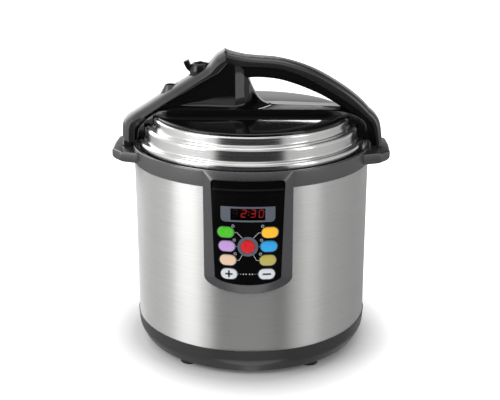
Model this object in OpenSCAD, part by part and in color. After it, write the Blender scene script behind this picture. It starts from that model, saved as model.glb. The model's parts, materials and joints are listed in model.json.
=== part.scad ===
// Electric pressure cooker with a turn-to-lock lid, an arched lid handle and a front control panel.
// Frame: +Z up, origin on the floor under the middle of the body, control panel facing -Y.
// All lengths are in millimetres and all angles in degrees.

/* [Body] */
// Outer radius of the brushed steel shell
body_r = 145; // [140:1:150]
// Height of the rubber feet
foot_h = 5; // [4:1:7]
// Height of the plastic tray above the feet
tray_h = 30; // [26:1:34]
// Height of the lower edge of the top ring above the floor
ring_z = 236; // [230:1:242]
// Height of the top ring
ring_h = 19; // [18:1:21]
// Sheet thickness of the steel shell
shell_t = 0.8; // [0.6:0.1:1.0]

/* [Side handles] */
// Reach of a side handle from the body's axis
ear_reach = 170; // [166:1:174]
// Length of a side handle along the body
ear_width = 94; // [84:1:104]
// Thickness of a side handle
ear_t = 13; // [10:1:14]

/* [Control panel] */
// Radius of the bezel's front edge
bezel_r = 150.5; // [150:0.5:153]
// Width of the bezel
bezel_w = 102; // [98:1:106]
// Height of the bezel's lowest point above the floor
bezel_z = 111.5; // [108:0.5:114]
// Width of the black fascia at its top
fascia_w = 84; // [80:1:86]
// Travel of a key
key_travel = 0.8; // [0.4:0.1:1.0]

/* [Pot] */
// Inner radius of the removable pot
pot_r = 118.5; // [116:0.5:119.5]
// Wall thickness of the removable pot
pot_t = 2.2; // [1.6:0.1:2.6]

/* [Lid] */
// Radius of the black lid cover
cover_r = 118; // [115:0.5:119]
// Angle of one bayonet lug and one collar tooth
lug_angle = 22; // [16:1:24]
// Number of bayonet lugs
lug_count = 8; // [6:1:10]

/* [Lid handle] */
// Half width of the sloping valve housing
housing_half_w = 24; // [21:0.5:26]
// Half width of the arched grip
grip_half_w = 17; // [15:0.5:19]
// Half width of the handle's base at the middle
base_half_w = 37; // [32:1:40]

/* [Hidden] */
$fn = 96;
eps = 0.02;
arc_steps = 5;
tray_top = foot_h + tray_h;
shell_bottom = tray_top - 2;
ring_top = ring_z + ring_h;
ring_r = body_r + 1.2;
shell_top = ring_z + 3;
front_angle = 270;

// Heights inside the body
plate_top = 60;
plate_bottom = 45.2;
well_bottom = 46;
collar_bottom = ring_z - 12;
flange_t = 2;
well_top = collar_bottom + flange_t + 1.2;
rim_top = well_top + flange_t;

// Radii inside the body
collar_r = body_r - shell_t - 1;
collar_t = 1.4;
tooth_r = 133.2;
lug_r = 138;
well_r = 124.4;
well_t = 1.2;
tray_floor_r = 108;
foot_ring_r = 124;
foot_r = 11;
foot_angles = [54, 126, 234, 306];

// Levels of the lid
cover_z = 288.5;
cover_t = 3;
base_z = cover_z + cover_t;
base_top_z = 299;
lid_rim_z = 236;
lid_skirt_z = 247;
upper_r = 120.8;
middle_r = 131.4;
lower_r = 138.5;
shelf_z = 278;
lower_shelf_z = 262;
lug_h = 3.5;
lid_t = 1.5;
tooth_z = lid_rim_z + lug_h + 0.5;

// Valve, float and their places along the housing
valve_x = -62;
valve_r = 12.5;
valve_z = 335;
float_x = -99;
float_hole_r = 9.2;
leg_x = 160;
leg_z = 251;
leg_step_z = 257;
leg_step_x = 147.3;

// Control panel rows: [angle from the middle, height]
face_r = bezel_r - 0.4;
key_w = 19;
key_h = 12.8;
key_proud = 0.8;
key_depth = 5.5;
key_rows = [[9.6, 185.7], [9.15, 169], [8.7, 152.2], [8.25, 135.4]];
start_z = 169;
start_r = 8;
start_ring_r = 11.8;
window_w = 39.4;
window_h = 14;
display_z = 207.4;
display_w = 61.6;
display_h = 18;
digit_places = [-14.2, -4.6, 5.8, 15.6];
board_y = 137;
board_t = 1.6;
light_r = 1.2;
light_rows = [[6.4, 193.4], [5.9, 176.7], [5.5, 160.1]];
scoop_top = 246.3;
display_front = 146.2;
fascia_top = 233;

// Back of the body
inlet_z = 62;
inlet_w = 48;
inlet_h = 28;
inlet_y = 148;
cup_w = 50;
cup_z = 181;
cup_h = 38;
cup_y = 130;
back_y = bezel_r + key_proud - 0.4;

// ---------- helpers ----------

function unit(v) = v / norm(v);

// Arc that rounds the corner b between a and c with radius r.
function corner(a, b, c, r) =
    let (u = unit(a - b), v = unit(c - b))
    let (half = acos(u * v) / 2, reach = r / tan(half))
    let (centre = b + unit(u + v) * r / sin(half), turn = 180 - 2 * half)
    let (from = b + u * reach - centre, to = b + v * reach - centre)
    [for (i = [0:arc_steps]) let (t = i / arc_steps)
        centre + (from * sin((1 - t) * turn) + to * sin(t * turn)) / sin(turn)];

// Closed outline whose points are [x, y] or [x, y, corner radius].
function rounded(points) =
    let (n = len(points))
    [for (i = [0:n - 1])
        let (a = points[(i + n - 1) % n], b = points[i], c = points[(i + 1) % n])
        each (len(b) > 2
            ? corner([a[0], a[1]], [b[0], b[1]], [c[0], c[1]], b[2])
            : [[b[0], b[1]]])];

function bezier(p, steps) =
    [for (i = [0:steps]) let (t = i / steps, s = 1 - t)
        s * s * s * p[0] + 3 * s * s * t * p[1] + 3 * s * t * t * p[2] + t * t * t * p[3]];

// Points of the other half, with their corner radii.
function mirrored(points) = [for (i = [len(points) - 1:-1:0]) let (p = points[i])
    len(p) > 2 ? [-p[0], p[1], p[2]] : [-p[0], p[1]]];

module lathe(points) {
    rotate_extrude() polygon(rounded(points));
}

module tube(r_out, r_in, z0, z1) {
    translate([0, 0, z0]) difference() {
        cylinder(r = r_out, h = z1 - z0);
        translate([0, 0, -1]) cylinder(r = r_in, h = z1 - z0 + 2);
    }
}

// Ring sector centred on an angle.
module sector(r_in, r_out, z0, z1, middle, width) {
    rotate([0, 0, middle - width / 2]) translate([0, 0, z0])
        rotate_extrude(angle = width) translate([r_in, 0]) square([r_out - r_in, z1 - z0]);
}

// Extrudes an X-Z outline over y from -half_w to half_w.
module across(half_w, points) {
    rotate([90, 0, 0]) translate([0, 0, -half_w]) linear_extrude(2 * half_w) polygon(points);
}

// Puts a child, drawn with its face in X-Y and its outside towards +Z, on the front at an angle.
module on_front(angle, z, r) {
    rotate([0, 0, angle]) translate([0, -r, z]) rotate([90, 0, 0]) children();
}

module stadium(w, h) {
    square([w - h, h], center = true);
    for (side = [-1, 1]) translate([side * (w - h) / 2, 0]) circle(d = h);
}

// ---------- base ----------

module feet() {
    color("black") for (a = foot_angles)
        rotate([0, 0, a]) translate([foot_ring_r, 0, 0]) cylinder(r = foot_r, h = foot_h);
}

module base_tray() {
    out = ring_r - 0.2;
    color("dimgray") lathe([
        [tray_floor_r, foot_h], [out - 9, foot_h, 3], [out - 1.2, foot_h + 14, 18], [out, tray_top],
        [body_r, tray_top], [body_r, shell_bottom], [body_r - 2, shell_bottom],
        [body_r - 3.4, foot_h + 15, 14], [out - 12, foot_h + 3, 3], [tray_floor_r, foot_h + 3]
    ]);
}

module bottom_cover() {
    slot_len = 34;
    color("darkgray") difference() {
        translate([0, 0, foot_h]) cylinder(r = tray_floor_r, h = 2.5);
        for (x = [-4:4]) translate([x * 11 - 1.5, -slot_len / 2, foot_h - 1]) cube([3, slot_len, 5]);
        for (a = [45:90:315]) rotate([0, 0, a]) translate([96, 0, foot_h - 1]) cylinder(r = 2, h = 5);
    }
}

module base_screws() {
    color("silver") for (a = [45:90:315]) rotate([0, 0, a]) translate([96, 0, 0]) {
        translate([0, 0, foot_h - 1.6]) cylinder(r = 3.6, h = 1.6);
        translate([0, 0, foot_h]) cylinder(r = 1.9, h = 9);
    }
}

module outer_shell() {
    color("silver") difference() {
        tube(body_r, body_r - shell_t, shell_bottom, shell_top);
        translate([-37, -body_r - 5, bezel_z + 14]) cube([74, 20, 106]);
        translate([-inlet_w / 2, body_r - 20, inlet_z - inlet_h / 2]) cube([inlet_w, 30, inlet_h]);
        translate([-cup_w / 2 - 4, body_r - 20, cup_z - 4]) cube([cup_w + 8, 30, cup_h + 8]);
    }
}

function ear_outline() = rounded([
    [body_r - 25, ear_width / 2 + 4], [ear_reach - 14, ear_width / 2 - 2, 9],
    [ear_reach - 1, ear_width / 2 - 18, 16], [ear_reach, 0], [ear_reach - 1, 18 - ear_width / 2, 16],
    [ear_reach - 14, 2 - ear_width / 2, 9], [body_r - 25, -4 - ear_width / 2]
]);

module ear() {
    top = ring_top - 5;
    difference() {
        translate([0, 0, top - ear_t]) linear_extrude(ear_t) polygon(ear_outline());
        translate([0, 0, top - ear_t - 1]) cylinder(r = ring_r - 1, h = ear_t + 2);
    }
}

module top_ring() {
    lip_r = body_r - 2.4;
    color("dimgray") {
        lathe([
            [ring_r, ring_z], [ring_r, ring_top, 1.6], [lip_r, ring_top, 0.8], [lip_r, ring_top - 9],
            [body_r - 1.6, ring_top - 9], [body_r - 1.6, shell_top + 2], [body_r, shell_top], [body_r, ring_z]
        ]);
        ear();
        mirror([1, 0, 0]) ear();
    }
}

module locking_collar() {
    color("lightgray") {
        lathe([
            [well_r + 0.5, collar_bottom], [collar_r, collar_bottom], [collar_r, ring_top - 9.5],
            [collar_r - collar_t, ring_top - 9.5], [collar_r - collar_t, collar_bottom + flange_t],
            [well_r + 0.5, collar_bottom + flange_t]
        ]);
        for (i = [0:lug_count - 1])
            sector(tooth_r, collar_r - 0.5, tooth_z, tooth_z + 3, i * 360 / lug_count, lug_angle);
    }
}

module cooking_well() {
    color("gainsboro") lathe([
        [100, well_bottom], [well_r, well_bottom, 6], [well_r, well_top - well_t], [131, well_top - well_t],
        [131, well_top], [well_r - well_t, well_top], [well_r - well_t, well_bottom + well_t, 5],
        [100, well_bottom + well_t]
    ]);
}

// ---------- heater and sensor ----------

module heating_plate() {
    color("silver") lathe([
        [15.5, plate_bottom], [92, plate_bottom], [96, plate_bottom + 5], [96, plate_top, 2],
        [15.5, plate_top]
    ]);
}

module heating_element() {
    tube_r = 5;
    color("gray") {
        translate([0, 0, plate_bottom - tube_r]) rotate([0, 0, 20])
            rotate_extrude(angle = 320) translate([76, 0]) circle(r = tube_r);
        for (a = [20, 340]) rotate([0, 0, a]) translate([76, 0, plate_bottom - tube_r - 6])
            cylinder(r = 2, h = 6);
    }
}

module spring_plate() {
    post_h = well_bottom - 33.5;
    color("lightsteelblue") {
        lathe([[22, 30], [60, 30], [66, 32], [110, 32], [110, 33.5], [65.4, 33.5], [59.4, 31.5], [22, 31.5]]);
        for (a = [30, 150, 270]) rotate([0, 0, a]) translate([105, 0, 33.5 - eps])
            cylinder(r = 3, h = post_h + eps);
        for (a = [90, 210, 330]) rotate([0, 0, a]) translate([50, 0, 31.5 - eps])
            cylinder(r = 4, h = plate_bottom - 31.5 + eps);
    }
}

module pressure_switch() {
    color("beige") {
        translate([26, -8, 17]) cube([26, 16, 10]);
        translate([34, 0, 27 - eps]) cylinder(r = 2, h = 3 + eps);
    }
}

module thermal_fuse() {
    color("white") translate([-85, 12, 36.6]) rotate([90, 0, 0]) cylinder(r = 3, h = 24);
}

module sensor_cup() {
    color("silver") difference() {
        translate([0, 0, 34]) cylinder(r = 15.2, h = 13);
        translate([0, 0, 35.2]) cylinder(r = 14.2, h = 13);
    }
}

module sensor_spring() {
    turns = 4;
    color("gray") for (i = [0:turns - 1])
        translate([0, 0, 36.1 + i * 3]) rotate_extrude() translate([9, 0]) circle(r = 0.8);
}

module sensor_plunger() {
    color("silver") {
        translate([0, 0, 47.2]) cylinder(r = 13.8, h = plate_top - 47.2 - eps);
        translate([0, 0, 42]) cylinder(r = 4, h = 5.2 + eps);
    }
}

// ---------- electronics ----------

module power_board() {
    color("darkgreen") difference() {
        translate([-52, -86, 13]) cube([104, 62, board_t]);
        for (x = [-47, 47], y = [-81, -29]) translate([x, y, 12]) cylinder(r = 1.7, h = 4);
    }
}

module power_board_parts() {
    top = 13 + board_t;
    color("gray") {
        translate([-46, -76, top]) cube([22, 18, 15]);
        translate([-14, -74, top]) cube([19, 15.5, 14.5]);
        translate([20, -66, top]) cylinder(r = 8, h = 15);
        translate([38, -70, top]) cylinder(r = 5, h = 12);
        translate([-30, -46, top]) cube([14, 6, 10]);
        translate([5, -46, top]) cube([26, 10, 9]);
    }
}

module power_inlet() {
    socket_w = 24.4;
    socket_h = 16.8;
    y0 = well_r + 2.6;
    color("black") difference() {
        union() {
            translate([-inlet_w / 2 + 0.1, body_r - 4, inlet_z - inlet_h / 2 + 0.1])
                cube([inlet_w - 0.2, inlet_y - body_r + 4, inlet_h - 0.2]);
            translate([-15, y0, inlet_z - 11]) cube([30, body_r - y0, 22]);
        }
        translate([-socket_w / 2, y0 + 3, inlet_z - socket_h / 2]) cube([socket_w, 40, socket_h]);
        for (side = [-1, 1]) translate([side * 20, body_r - 10, inlet_z]) rotate([-90, 0, 0])
            cylinder(r = 1.8, h = 20);
    }
}

module inlet_pins() {
    y0 = well_r + 5.6;
    color("gold") for (p = [[-7, -2], [0, 2], [7, -2]])
        translate([p[0] - 1, y0, inlet_z + p[1] - 2]) cube([2, 12, 4]);
}

module cup_pocket() {
    wall = 1.6;
    inner_y = cup_y - wall - 0.4;
    color("dimgray") difference() {
        translate([-cup_w / 2 - 3.9, inner_y, cup_z - 3.9])
            cube([cup_w + 7.8, body_r + 2 - inner_y, cup_h + 7.8]);
        translate([-cup_w / 2 - 0.4, inner_y + wall, cup_z - 0.4]) cube([cup_w + 0.8, 40, cup_h + 0.8]);
    }
}

module condensate_cup() {
    wall = 1.6;
    depth = back_y - cup_y;
    color("lightblue", 0.6) difference() {
        translate([-cup_w / 2, cup_y, cup_z]) cube([cup_w, depth, cup_h]);
        translate([-cup_w / 2 + wall, cup_y + wall, cup_z + wall])
            cube([cup_w - 2 * wall, depth - 2 * wall, cup_h]);
    }
}

// ---------- control panel ----------

// Front outline with straight sides and a bowed bottom, as X-Z points.
function panel_outline(w_top, w_low, z_top, z_side, z_low) = concat(
    [[w_low / 2, z_side], [w_top / 2, z_top], [-w_top / 2, z_top], [-w_low / 2, z_side]],
    [for (i = [1:9]) let (a = 180 * i / 10) [-w_low / 2 * cos(a), z_side - (z_side - z_low) * sin(a)]]
);

module front_plate(r_in, r_out, points) {
    z0 = bezel_z - 2;
    intersection() {
        tube(r_out, r_in, z0, ring_top + 1);
        translate([0, -body_r, 0]) across(20, points);
    }
}

module control_bezel() {
    color("dimgray") difference() {
        front_plate(ring_r + 0.05, bezel_r,
            panel_outline(bezel_w, bezel_w, ring_top + 0.5, bezel_z + 18.5, bezel_z));
        translate([0, -body_r, 0])
            across(22, panel_outline(fascia_w, fascia_w - 8, fascia_top, bezel_z + 20, bezel_z + 10.5));
        intersection() {
            tube(bezel_r + 1, bezel_r - 2.6, fascia_top, scoop_top);
            translate([0, -body_r, 0]) across(22, rounded([
                [-fascia_w / 2, fascia_top + 1.6, 3], [-fascia_w / 2 + 2, scoop_top, 4],
                [fascia_w / 2 - 2, scoop_top, 4], [fascia_w / 2, fascia_top + 1.6, 3]
            ]));
        }
    }
}

module key_shape(grow) {
    stadium(key_w + 2 * grow, key_h + 2 * grow);
}

module key_hole(angle, z) {
    on_front(angle, z, bezel_r + 3) translate([0, 0, -8]) linear_extrude(10) key_shape(0.25);
}

module control_fascia() {
    color("black") difference() {
        front_plate(face_r - 2.4, face_r,
            panel_outline(fascia_w - 0.2, fascia_w - 8.2, fascia_top - 0.1, bezel_z + 20, bezel_z + 10.6));
        for (row = key_rows, side = [-1, 1]) key_hole(side * row[0], row[1]);
        on_front(0, start_z, bezel_r + 3) translate([0, 0, -8]) cylinder(r = start_ring_r + 0.05, h = 10);
        translate([0, -body_r, 0]) across(20, display_outline(0.1));
        light_places() translate([0, 0, -8]) cylinder(r = light_r + 0.05, h = 10);
    }
}

module light_places() {
    for (row = light_rows, side = [-1, 1]) on_front(side * row[0], row[1], bezel_r + 3) children();
}

// Display surround with rounded lower corners, as X-Z points.
function display_outline(grow) =
    let (x = display_w / 2 + grow, z = display_h / 2 + grow)
    rounded([[-x, display_z + z], [x, display_z + z], [x, display_z - z, 5], [-x, display_z - z, 5]]);

module display_frame() {
    color("slategray") difference() {
        front_plate(face_r - 2.4, face_r + 0.1, display_outline(0));
        on_front(0, display_z, bezel_r + 3) translate([-window_w / 2, -window_h / 2, -8])
            cube([window_w, window_h, 10]);
    }
}

module display_lens() {
    x = window_w / 2 - 0.05;
    z = window_h / 2 - 0.05;
    color("black") front_plate(face_r - 1.4, face_r - 0.1,
        [[-x, display_z - z], [-x, display_z + z], [x, display_z + z], [x, display_z - z]]);
}

// Bars of a seven-segment digit: [x, y, turn].
digit_w = 5;
digit_h = 8.8;
digit_bars = [
    [0, digit_h / 2, 0], [digit_w / 2, digit_h / 4, 90], [digit_w / 2, -digit_h / 4, 90],
    [0, -digit_h / 2, 0],
    [-digit_w / 2, -digit_h / 4, 90], [-digit_w / 2, digit_h / 4, 90], [0, 0, 0]
];

module digit(lit) {
    bar_len = 3.7;
    bar_t = 1.1;
    for (i = [0:6]) if (lit[i] == 1)
        translate([digit_bars[i][0], digit_bars[i][1], 0]) rotate([0, 0, digit_bars[i][2]])
            translate([-bar_len / 2, -bar_t / 2, 0]) cube([bar_len, bar_t, 0.3]);
}

module display_module() {
    color([0.05, 0.05, 0.05]) translate([-20.5, -display_front, display_z - 9.5])
        cube([41, display_front - board_y - board_t, 19]);
}

module display_digits() {
    color("red") on_front(0, display_z, display_front) {
        translate([digit_places[1], 0, 0]) digit([1, 1, 0, 1, 1, 0, 1]);
        translate([digit_places[2], 0, 0]) digit([1, 1, 1, 1, 0, 0, 1]);
        translate([digit_places[3], 0, 0]) digit([1, 1, 1, 1, 1, 1, 0]);
        for (y = [-1.8, 1.8]) translate([0.6, y, 0]) cylinder(r = 0.6, h = 0.3);
    }
}

module indicator_lights() {
    color("gray") light_places() translate([0, 0, -5.6]) cylinder(r = light_r, h = 2.6);
}

module start_ring() {
    color("slategray") on_front(0, start_z, face_r - 2.4) difference() {
        cylinder(r = start_ring_r, h = 2.6);
        translate([0, 0, -1]) cylinder(r = start_r + 0.25, h = 5);
    }
}

module control_board() {
    color("darkgreen") translate([-36, -board_y - board_t, 122]) cube([72, board_t, 100]);
}

// A switch on the board whose plunger ends just behind a key's back.
module tact_switch(angle, z) {
    back = face_r + 0.4 - key_depth;
    front = back * cos(angle) - key_travel - 0.6;
    board_front = board_y + board_t;
    translate([back * sin(angle), 0, z]) {
        translate([-3, -board_front - 2, -3]) cube([6, 2, 6]);
        translate([0, -board_front - 2 + eps, 0]) rotate([90, 0, 0])
            cylinder(r = 1.7, h = front - board_front - 2 + eps);
    }
}

module tact_switches() {
    color("gray") {
        for (row = key_rows, side = [-1, 1]) tact_switch(side * row[0], row[1]);
        tact_switch(0, start_z);
    }
}

module key_cap(side, row) {
    on_front(side * key_rows[row][0], key_rows[row][1], face_r - key_depth + 0.4)
        linear_extrude(key_depth - 0.4 + key_proud) key_shape(0);
}

module key_start() {
    color("red") on_front(0, start_z, face_r - key_depth + 0.4)
        cylinder(r = start_r, h = key_depth - 0.4 + key_proud);
}

// ---------- pot and seal ----------

module inner_pot() {
    out = pot_r + pot_t;
    color("gray") lathe([
        [0, plate_top], [out, plate_top, 16], [out, well_top], [out + 6.3, well_top],
        [out + 6.3, rim_top, 0.9], [pot_r, rim_top, 1.5], [pot_r, plate_top + 3, 14], [0, plate_top + 3]
    ]);
}

module sealing_ring() {
    low = rim_top + 0.3;
    color("whitesmoke") lathe([
        [120.5, low], [128.6, low], [128.6, low + 7.5], [120.5, low + 7.5],
        [120.5, low + 5.7], [125.5, low + 5.7], [125.5, low + 1.8], [120.5, low + 1.8]
    ]);
}

// ---------- lid ----------

module lid_shell() {
    color("silver") {
        difference() {
            lathe([
                [0, cover_z], [upper_r - 0.4, cover_z, 2.5], [upper_r, shelf_z, 2],
                [middle_r - 0.4, shelf_z, 4.5], [middle_r, lower_shelf_z, 2],
                [lower_r - 0.3, lower_shelf_z, 4], [lower_r, lid_skirt_z],
                [lower_r - lid_t, lid_skirt_z], [lower_r - lid_t, lower_shelf_z - lid_t, 2],
                [middle_r, lower_shelf_z - lid_t], [middle_r, lid_rim_z], [middle_r - 1.8, lid_rim_z],
                [middle_r - 1.8, shelf_z - 1.6], [upper_r - lid_t, shelf_z - 1.6, 2],
                [upper_r - lid_t - 0.4, cover_z - lid_t, 2], [0, cover_z - lid_t]
            ]);
            translate([valve_x, 0, cover_z - 5]) cylinder(r = 5.05, h = 10);
            translate([float_x, 0, cover_z - 5]) cylinder(r = 4.2, h = 10);
            screw_holes();
        }
        for (i = [0:lug_count - 1])
            sector(middle_r - 0.4, lug_r, lid_rim_z, lid_rim_z + lug_h,
                (i + 0.5) * 360 / lug_count, lug_angle);
    }
}

module lid_cover() {
    color("black") difference() {
        lathe([[0, cover_z], [cover_r, cover_z], [cover_r, base_z, 2], [0, base_z]]);
        translate([valve_x, 0, cover_z - 5]) cylinder(r = 11, h = 15);
        translate([float_x, 0, cover_z - 5]) cylinder(r = 8, h = 15);
        screw_holes();
    }
}

module seal_rack() {
    color("silver") lathe([
        [118, rim_top + 8.2], [129.4, rim_top + 8.2], [129.4, rim_top + 9.4], [118, rim_top + 9.4]
    ]);
}

// Upper and lower edges of the grip and of its top shell, from the apex to the shoulder above the right leg.
grip_crest = bezier([[-24, 364.5], [40, 360], [113, 341], [151, 288.5]], 14);
grip_seam = bezier([[-12, 350], [45, 350], [100, 325], [145, 284]], 14);
grip_under = bezier([[-3, 335], [40, 337], [75, 322], [107, 302.5]], 10);
slope_crest = [[-32, 366.5], [-42.8, 358.6], [-50.2, 348.7], [-145, 288.5], [-156, 280, 6], [-158.5, 270]];
slope_seam = [[-140.4, 275.3, 5], [-128.2, 287.4], [-43.3, 339.9], [-29, 353]];

// Plan of the handle's base: a long lens that narrows to the legs.
module base_plan(h0, h1) {
    end_w = 18;
    side = bezier([[-leg_x, -end_w], [-90, -end_w - 8], [-50, -base_half_w - 1], [0, -base_half_w]], 8);
    half = concat(side, [for (i = [len(side) - 2:-1:0]) [-side[i][0], side[i][1]]]);
    back = [for (i = [len(half) - 1:-1:0]) [half[i][0], -half[i][1]]];
    translate([0, 0, h0]) linear_extrude(h1 - h0) polygon(concat(half, back));
}

// Right half of the base's X-Z outline: it rests on the cover and ends in a leg beside the lid.
base_side = [
    [110, base_z], [110, leg_step_z], [leg_step_x, leg_step_z],
    [leg_step_x, leg_z], [leg_x - 12, leg_z], [leg_x - 14, 281, 8], [107, 296.5, 30]
];

// Space of the stepped lid, with a small gap around it.
module lid_space() {
    cylinder(r = cover_r + 0.4, h = base_z);
    cylinder(r = upper_r + 0.5, h = cover_z + 0.6);
    cylinder(r = middle_r + 0.5, h = shelf_z + 0.6);
    cylinder(r = lower_r + 0.5, h = lower_shelf_z + 0.6);
}

// Wells in the housing for the valve and the float.
module housing_holes() {
    translate([valve_x, 0, 300]) cylinder(r = valve_r + 1.5, h = 80);
    translate([float_x, 0, 290]) cylinder(r = float_hole_r, h = 50);
}

module handle_base() {
    housing = concat(
        [[-12, base_top_z - 2], [-5, 335], [-12, 350], [-29, 353]],
        [[-43.3, 339.9], [-128.2, 287.4], [-140.4, 275.3], [-128, 275.3], [-110, base_z - 4]]
    );
    cavity = [[-16, base_z - 1], [-16, 340], [-40, 336], [-112, 291], [-112, base_z - 1]];
    color("black") difference() {
        union() {
            intersection() {
                across(60, rounded(concat(base_side, [[0, base_top_z]], mirrored(base_side))));
                base_plan(leg_z - 1, 310);
            }
            across(housing_half_w - 2, housing);
        }
        lid_space();
        across(housing_half_w - 5, cavity);
        top_shell(40, 40);
        screw_holes();
        housing_holes();
    }
}

module handle_grip_core() {
    n = len(grip_under) - 1;
    color("black") across(grip_half_w - 3, concat(
        [[-5 + 0.05, 335], [-12 + 0.05, 350]], [for (i = [1:14]) grip_seam[i]],
        [[145, 281.5], [107.5, 298]], [for (i = [n:-1:1]) grip_under[i]]
    ));
}

// Top shell: a wide slope with the left leg, and the narrower grip with the right leg.
module top_shell(slope_half_w, arch_half_w) {
    across(slope_half_w, rounded(concat(
        slope_crest, [[-leg_x + 0.6, leg_z], [-148.2, leg_z], [-146.4, 272]], slope_seam
    )));
    across(arch_half_w, concat(
        grip_crest,
        [[157.5, 278], [leg_x + 1, 258], [leg_x + 1.4, leg_z], [149, leg_z], [148, 274], [145, 284]],
        [for (i = [13:-1:0]) grip_seam[i]], [[-29, 353], [-32, 366.5]]
    ));
}

module handle_top() {
    color([0.2, 0.2, 0.2]) difference() {
        top_shell(housing_half_w, grip_half_w);
        housing_holes();
    }
}

// Screws that hold the handle's base, seen from under the lid.
screw_places = [[80, 0], [-60, 26], [-60, -26]];

module screw_holes() {
    for (p = screw_places) translate([p[0], p[1], cover_z - 5]) cylinder(r = 2.2, h = 12.5);
}

module handle_screws() {
    color("silver") for (p = screw_places) translate([p[0], p[1], 0]) {
        translate([0, 0, cover_z - lid_t - 3]) cylinder(r = 4.5, h = 3);
        translate([0, 0, cover_z - lid_t - eps]) cylinder(r = 2.1, h = 8.5);
    }
}

module vent_pipe() {
    color("silver") difference() {
        union() {
            translate([valve_x, 0, 277]) cylinder(r = 5, h = 53);
            translate([valve_x, 0, cover_z]) cylinder(r = 9, h = 3);
        }
        translate([valve_x, 0, 276]) cylinder(r = 1.6, h = 55);
    }
}

module vent_nut() {
    color("silver") difference() {
        translate([valve_x, 0, cover_z - lid_t - 4]) cylinder(r = 9, h = 4, $fn = 6);
        translate([valve_x, 0, cover_z - lid_t - 5]) cylinder(r = 5.05, h = 6);
    }
}

module vent_shield() {
    color("lightgray") translate([valve_x, 0, cover_z - lid_t - 15]) difference() {
        cylinder(r = 12, h = 15);
        translate([0, 0, 1]) cylinder(r = 11, h = 15);
        for (a = [0:45:315])
            rotate([0, 0, a]) translate([9, 0, 8]) rotate([0, 90, 0]) cylinder(r = 1.4, h = 6);
    }
}

module float_guard() {
    color([0.25, 0.25, 0.25]) translate([float_x, 0, 303]) difference() {
        union() {
            cylinder(r = float_hole_r - 0.2, h = 10);
            translate([0, 0, 10 - eps]) cylinder(r1 = float_hole_r - 0.2, r2 = 6.6, h = 11 + eps);
        }
        translate([0, 0, -1]) cylinder(r = 5, h = 24);
    }
}

module float_pin() {
    color("silver") translate([float_x, 0, 0]) {
        translate([0, 0, 276]) cylinder(r = 5, h = 3);
        translate([0, 0, 279 - eps]) cylinder(r = 3, h = 34);
    }
}

module float_seal() {
    color("tomato") tube_at(float_x, 5.4, 3.2, cover_z - lid_t - 2, cover_z - lid_t);
}

module tube_at(x, r_out, r_in, z0, z1) {
    translate([x, 0, 0]) tube(r_out, r_in, z0, z1);
}

module valve_knob() {
    color("black") translate([valve_x, 0, 0]) difference() {
        union() {
            translate([0, 0, valve_z]) cylinder(r = valve_r, h = 13);
            translate([0, 0, valve_z + 13]) cylinder(r1 = valve_r, r2 = valve_r - 4, h = 3);
            across(4.5, [
                [-9, valve_z + 4], [-16, valve_z + 8], [-20.5, valve_z + 15.5], [-20, valve_z + 18.5],
                [-14, valve_z + 18], [-8, valve_z + 12]
            ]);
        }
        translate([0, 0, valve_z - 1]) cylinder(r = 8, h = 9);
        for (a = [0:60:300]) rotate([0, 0, a]) translate([6, 0, valve_z + 6]) cylinder(r = 1.6, h = 20);
    }
}

module valve_weight() {
    color("silver") difference() {
        translate([valve_x, 0, 331]) cylinder(r = 7.8, h = 11);
        translate([valve_x, 0, 330]) cylinder(r = 1.2, h = 4);
    }
}

// ---------- nodes ----------

feet();
base_tray();
bottom_cover();
base_screws();
outer_shell();
top_ring();
locking_collar();
cooking_well();
heating_plate();
heating_element();
spring_plate();
pressure_switch();
thermal_fuse();
sensor_cup();
sensor_spring();
sensor_plunger();
power_board();
power_board_parts();
power_inlet();
inlet_pins();
cup_pocket();
condensate_cup();
control_bezel();
control_fascia();
display_frame();
display_lens();
display_digits();
display_module();
indicator_lights();
start_ring();
control_board();
tact_switches();
color("limegreen") key_cap(-1, 0);  // key_green
color("plum") key_cap(-1, 1);  // key_violet
color("wheat") key_cap(-1, 2);  // key_peach
color("gold") key_cap(1, 0);  // key_yellow
color("deepskyblue") key_cap(1, 1);  // key_blue
color("darkkhaki") key_cap(1, 2);  // key_olive
color("gainsboro") key_cap(-1, 3);  // key_plus
color("gainsboro") key_cap(1, 3);  // key_minus
key_start();
inner_pot();
sealing_ring();
lid_shell();
lid_cover();
handle_base();
handle_top();
handle_grip_core();
handle_screws();
seal_rack();
vent_pipe();
vent_shield();
vent_nut();
float_guard();
float_pin();
float_seal();
valve_knob();
valve_weight();
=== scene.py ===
"""The looks of the electric pressure cooker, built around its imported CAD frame.

Lengths are written in millimetres in the row frame and turned into metres when a mesh is made.
"""
import json
import math

import bpy
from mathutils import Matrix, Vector


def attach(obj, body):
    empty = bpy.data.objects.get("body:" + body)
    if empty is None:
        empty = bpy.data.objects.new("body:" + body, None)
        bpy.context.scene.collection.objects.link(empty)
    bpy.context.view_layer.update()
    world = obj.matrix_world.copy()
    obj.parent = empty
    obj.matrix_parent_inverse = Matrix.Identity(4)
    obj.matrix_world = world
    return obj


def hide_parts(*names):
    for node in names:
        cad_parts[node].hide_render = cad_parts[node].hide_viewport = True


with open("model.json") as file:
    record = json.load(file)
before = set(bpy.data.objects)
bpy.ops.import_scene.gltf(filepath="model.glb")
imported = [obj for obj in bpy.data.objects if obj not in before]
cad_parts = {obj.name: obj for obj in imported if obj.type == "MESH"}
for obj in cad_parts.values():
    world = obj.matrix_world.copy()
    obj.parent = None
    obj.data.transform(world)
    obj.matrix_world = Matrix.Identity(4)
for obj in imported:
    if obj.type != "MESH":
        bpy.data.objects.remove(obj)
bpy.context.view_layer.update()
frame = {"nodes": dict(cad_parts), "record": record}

NODES = frame["nodes"]
MM = 0.001
CREASE = 32  # degrees: an edge that turns more than this stays sharp


# ---------- curves and outlines ----------

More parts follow.
